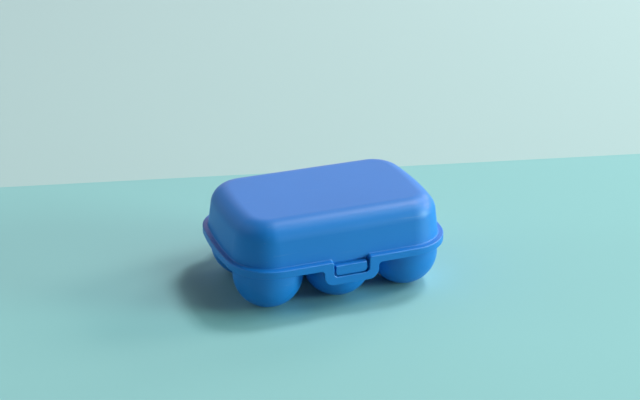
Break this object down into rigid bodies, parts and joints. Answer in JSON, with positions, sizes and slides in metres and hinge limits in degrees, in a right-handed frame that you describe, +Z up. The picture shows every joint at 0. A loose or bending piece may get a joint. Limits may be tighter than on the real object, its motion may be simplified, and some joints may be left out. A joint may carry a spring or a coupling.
{
  "type": "egg box",
  "caption": "Hinged egg box with round cups in a tray, a domed lid and a springy front clasp.",
  "frame": {"origin": "on the table, under the middle of the whole box", "axes": "+X along the box's length, -Y to the clasp at the front, +Y to the hinges, +Z up"},
  "size_m": [0.1582, 0.1156, 0.0653],
  "materials": {
    "blue_plastic": "satin moulded"
  },
  "bodies": {
    "tray": {"tray": "blue_plastic", "hinge_pin_left": "blue_plastic", "hinge_pin_right": "blue_plastic"},
    "lid": {"lid": "blue_plastic"},
    "clasp": {"front_clasp": "blue_plastic"}
  },
  "joints": [
    {"name": "lid_hinge", "type": "hinge", "parent": "tray", "child": "lid", "pos_m": [0, 0.05465, 0.03265], "axis": [-1, 0, 0], "range_deg": [0, 180]},
    {"name": "clasp_flex", "type": "hinge", "parent": "lid", "child": "clasp", "pos_m": [0, -0.05785, 0.02855], "axis": [-1, 0, 0], "range_deg": [0, 12], "stiffness_Nm_per_rad": 0.2}
  ]
}
